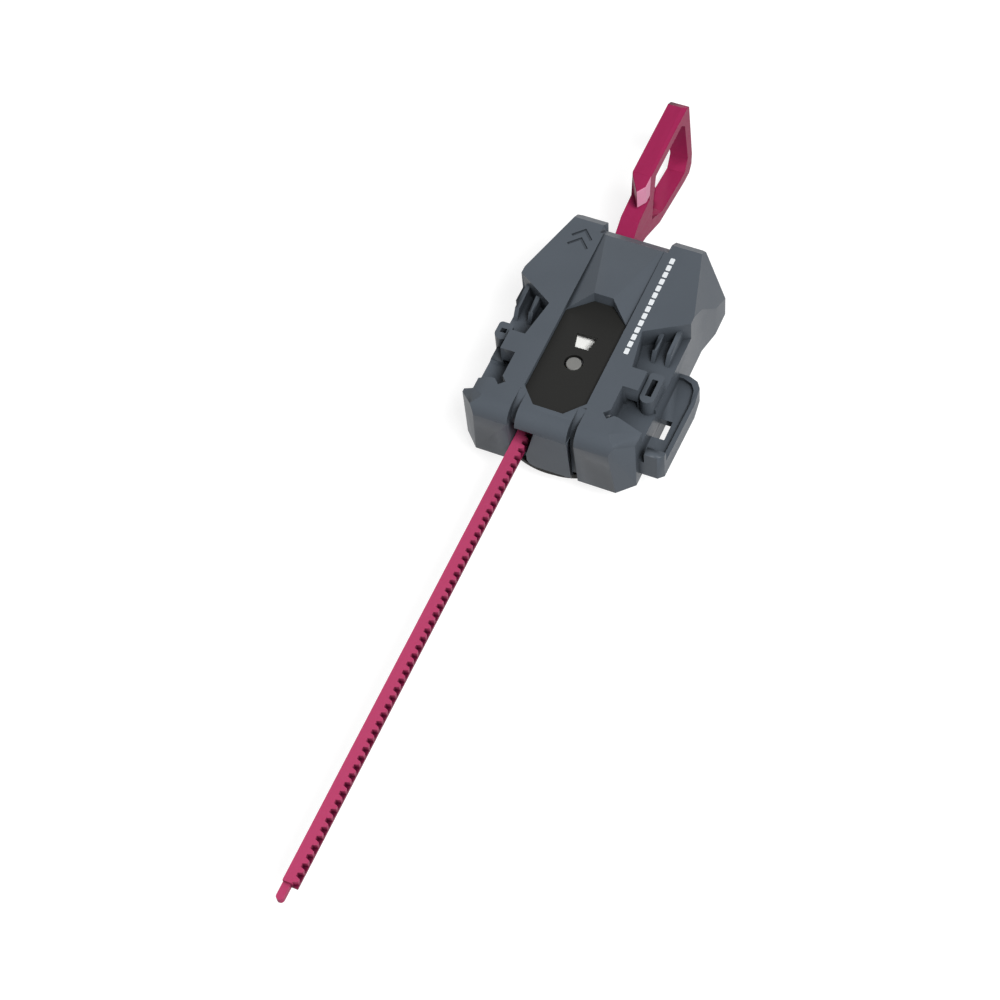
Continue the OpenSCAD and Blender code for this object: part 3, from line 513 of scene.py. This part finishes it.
class LAUNCHER_OT_winder(bpy.types.Operator):
    """Round the edges of the toothed strip and its ring and point the ring's near end"""

    bl_idname = "launcher.winder"
    bl_label = "Winder"

    def execute(self, context):
        settings = context.scene.launcher
        colours = settings.colours
        gloss = gloss_polyamide("Glossy magenta nylon", colours.winder, thin=colours.strip)
        # Only the long edges are rounded, so that the teeth keep their form.
        soft_edged(
            "winder", "strip_and_ring", "winder", gloss, settings.sizes.winder_edge,
            shortest=3 * MM)

        # The near end of the ring's upper bar runs out in a prow; its faces that look to the right
        # get a pale pink copy of the nylon as a painted highlight.
        shape = bmesh.new()
        plan = [(x * MM, y * MM) for x, y in PROW_PLAN]
        raise_outline(shape, plan, PROW_LOW, PROW_HIGH - PROW_LOW)
        bmesh.ops.bevel(
            shape, geom=shape.edges[:], offset=PROW_EDGE, affect="EDGES", segments=2,
            profile=0.5, material=-1)
        prow = new_piece("ring_prow", shape, "winder", gloss)
        prow.modifiers.new("even_shading", "WEIGHTED_NORMAL")
        # The pale copy of the nylon on the right-facing faces is a painted highlight.
        prow.data.materials.append(gloss_polyamide("Pink nylon, painted lit", colours.clear))
        for face in prow.data.polygons:
            face.material_index = int(face.normal.x > PAINTED_LIT_SIDE)
        return {"FINISHED"}


class LAUNCHER_OT_button(bpy.types.Operator):
    """Round the rim of the button in the plate"""

    bl_idname = "launcher.button"
    bl_label = "Button"

    def execute(self, context):
        settings = context.scene.launcher
        grey = satin_abs("Satin pale grey ABS", settings.colours.button)
        edge = settings.sizes.button_edge
        soft_edged("plunger_cap", "button", "plunger", grey, edge)
        return {"FINISHED"}


class LAUNCHER_OT_spring(bpy.types.Operator):
    """Wind the round-wire spring that gives way under the button"""

    bl_idname = "launcher.spring"
    bl_label = "Spring"

    def execute(self, context):
        sizes = context.scene.launcher.sizes
        low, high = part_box("plunger_spring")
        wire = sizes.spring_wire
        rise = high[2] - low[2] - wire
        shape = bmesh.new()
        start = Matrix.Translation((high[0] - wire / 2, 0, low[2] + wire / 2))
        start = start @ Matrix.Rotation(math.pi / 2, 4, "X")
        section = bmesh.ops.create_circle(
            shape, cap_ends=False, segments=WIRE_SIDES, radius=wire / 2, matrix=start)["verts"]
        edges = {edge for vert in section for edge in vert.link_edges}
        steps = STEPS_PER_TURN * sizes.spring_turns
        bmesh.ops.spin(
            shape, geom=list(edges), cent=(0, 0, 0), axis=(0, 0, 1), dvec=(0, 0, rise / steps),
            angle=2 * math.pi * sizes.spring_turns, steps=steps)
        ends = [edge for edge in shape.edges if edge.is_boundary]
        bmesh.ops.holes_fill(shape, edges=ends, sides=0)
        bmesh.ops.recalc_face_normals(shape, faces=shape.faces)
        steel = turned_metal("Drawn spring steel", SPRING_STEEL, roughness=0.26)
        coil = new_piece("coil_spring", shape, "plunger", steel)
        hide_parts("plunger_spring")
        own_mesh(coil)
        return {"FINISHED"}


class LAUNCHER_OT_print(bpy.types.Operator):
    """Print the row of white dashes on the right wing"""

    bl_idname = "launcher.print"
    bl_label = "Print"

    def execute(self, context):
        settings = context.scene.launcher
        count = settings.sizes.dash_count
        half_width = settings.sizes.dash_width / 2
        pitch = (ROW_BACK - ROW_FRONT) / count
        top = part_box("upper_housing")[1][2] - WING_DROP
        left, right = ROW_X - half_width, ROW_X + half_width
        nib = NIB_SHARE * half_width
        shape = bmesh.new()
        for k in range(count):
            start = ROW_FRONT + k * pitch
            end = start + DASH_SHARE * pitch
            outline = [
                (left + nib, start), (right - nib, start), (right, start + nib),
                (right, end - nib), (right - nib, end), (left + nib, end),
                (left, end - nib), (left, start + nib)]
            raise_outline(shape, outline, top, INK_FILM)
        ink = printed_ink("White print", settings.colours.ink)
        dashes = new_piece("printed_dashes", shape, "housing", ink)
        dashes.data.polygons.foreach_set("use_smooth", [False] * len(dashes.data.polygons))
        return {"FINISHED"}


class LAUNCHER_OT_works(bpy.types.Operator):
    """Give the gear, the rotor disc, the bearings and the fasteners their finishes"""

    bl_idname = "launcher.works"
    bl_label = "Works"

    def execute(self, context):
        colours = context.scene.launcher.colours
        acetal = satin_abs("White acetal", colours.acetal, roughness=0.35)
        steel = turned_metal("Turned steel", STEEL, roughness=0.3)
        brass = turned_metal("Turned brass", BRASS, roughness=0.28)
        dress(["drive_gear", "rotor_disc"], acetal)
        dress(["upper_bush", "lower_bush", "spring_stop"], brass)
        dress(["hub_shaft", "plunger", "thrust_washer", "retaining_clip",
               "gear_cover_screws", "collar_screws", "housing_screws"], steel)
        return {"FINISHED"}


class LAUNCHER_OT_stage(bpy.types.Operator):
    """Set up the white sheet, the lamps and the camera"""

    bl_idname = "launcher.stage"
    bl_label = "Stage"

    def execute(self, context):
        scene = context.scene
        studio = scene.launcher.studio
        scene.view_settings.view_transform = "Standard"

        sheet = bmesh.new()
        bmesh.ops.create_grid(sheet, x_segments=2, y_segments=2, size=FLOOR_HALF)
        mesh = bpy.data.meshes.new("floor")
        sheet.to_mesh(mesh)
        sheet.free()
        mesh.materials.append(studio_white("White paper"))
        floor = bpy.data.objects.new("floor", mesh)
        scene.collection.objects.link(floor)

        world = bpy.data.worlds.new("Studio")
        world.use_nodes = True
        tree = world.node_tree
        tree.nodes.clear()
        strength = add_node(tree, "ShaderNodeMapRange", {
            "Value": seen_directly(tree), "To Min": studio.sky, "To Max": 1.0})
        sky = add_node(tree, "ShaderNodeBackground", {"Strength": strength.outputs["Result"]})
        add_node(tree, "ShaderNodeOutputWorld", {"Surface": sky.outputs[0]})
        scene.world = world

        # Name, place, width and power of each lamp
        lamps = [
            ("key", (0.58, -0.4, 0.96), 0.5, studio.key),
            ("fill", (-0.85, -0.7, 0.3), 0.8, studio.fill),
            ("back", (-0.5, 1.05, 0.3), 0.6, studio.back),
        ]
        for name, place, size, power in lamps:
            data = bpy.data.lights.new(name, "AREA")
            data.size = size
            data.energy = power
            lamp = bpy.data.objects.new(name, data)
            lamp.location = place
            aim = Vector(LAMP_TARGET) - Vector(place)
            lamp.rotation_euler = aim.to_track_quat("-Z", "Y").to_euler()
            scene.collection.objects.link(lamp)

        camera = bpy.data.objects.new("camera", bpy.data.cameras.new("camera"))
        camera.data.lens = studio.lens
        camera.data.sensor_width = SENSOR_WIDTH
        camera.location = studio.camera_place
        camera.rotation_euler = Euler(studio.camera_turn)
        scene.collection.objects.link(camera)
        scene.camera = camera
        return {"FINISHED"}


class LAUNCHER_PT_panel(bpy.types.Panel):
    """Lists the launcher's pieces and settings"""

    bl_idname = "LAUNCHER_PT_panel"
    bl_label = "Spinning Top Launcher"
    bl_space_type = "VIEW_3D"
    bl_region_type = "UI"
    bl_category = "Launcher"

    def draw(self, context):
        layout = self.layout
        for operator in OPERATORS:
            layout.operator(operator.bl_idname)
        settings = context.scene.launcher
        for group in (settings.colours, settings.sizes, settings.studio):
            box = layout.box()
            for name in group.__annotations__:
                box.prop(group, name)


GROUPS = (LauncherColours, LauncherSizes, LauncherStudio, LauncherSettings)
OPERATORS = (
    LAUNCHER_OT_shell,
    LAUNCHER_OT_black_mouldings,
    LAUNCHER_OT_winder,
    LAUNCHER_OT_button,
    LAUNCHER_OT_spring,
    LAUNCHER_OT_print,
    LAUNCHER_OT_works,
    LAUNCHER_OT_stage,
)


def register():
    for cls in (*GROUPS, *OPERATORS, LAUNCHER_PT_panel):
        bpy.utils.register_class(cls)
    bpy.types.Scene.launcher = PointerProperty(type=LauncherSettings)


def unregister():
    del bpy.types.Scene.launcher
    for cls in reversed((*GROUPS, *OPERATORS, LAUNCHER_PT_panel)):
        bpy.utils.unregister_class(cls)


def main():
    register()
    bpy.ops.launcher.shell()
    bpy.ops.launcher.black_mouldings()
    bpy.ops.launcher.winder()
    bpy.ops.launcher.button()
    bpy.ops.launcher.spring()
    bpy.ops.launcher.print()
    bpy.ops.launcher.works()
    bpy.ops.launcher.stage()


if __name__ == "__main__":
    main()
